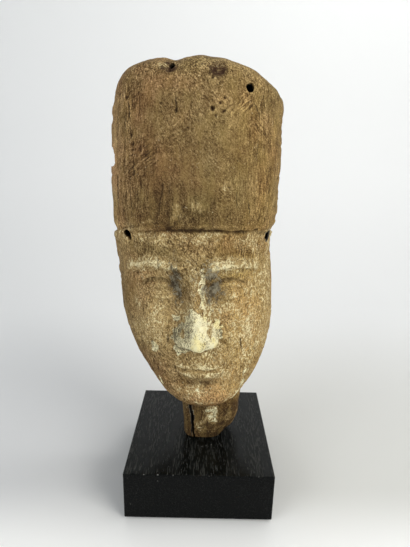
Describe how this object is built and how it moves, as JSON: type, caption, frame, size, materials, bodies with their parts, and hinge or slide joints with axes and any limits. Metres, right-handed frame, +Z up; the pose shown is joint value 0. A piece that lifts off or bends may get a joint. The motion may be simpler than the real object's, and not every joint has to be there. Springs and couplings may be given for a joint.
{
  "type": "wooden coffin mask on a plinth",
  "caption": "Weathered carved wooden coffin mask with a tall plain headdress, a calm face and a broken stub of neck, standing on a black wooden block.",
  "frame": {"origin": "middle of the plinth's underside", "axes": "+Z up through the mask, -Y the way the face looks, +X to the viewer's right"},
  "size_m": [0.136, 0.12, 0.3558],
  "materials": {
    "old_wood": "dry, weathered, fine open grain, with remains of cream ground on the face",
    "black_wood": "black stain, semi-gloss, open pores"
  },
  "bodies": {
    "root": {"mask": "old_wood", "plinth": "black_wood"}
  },
  "joints": []
}
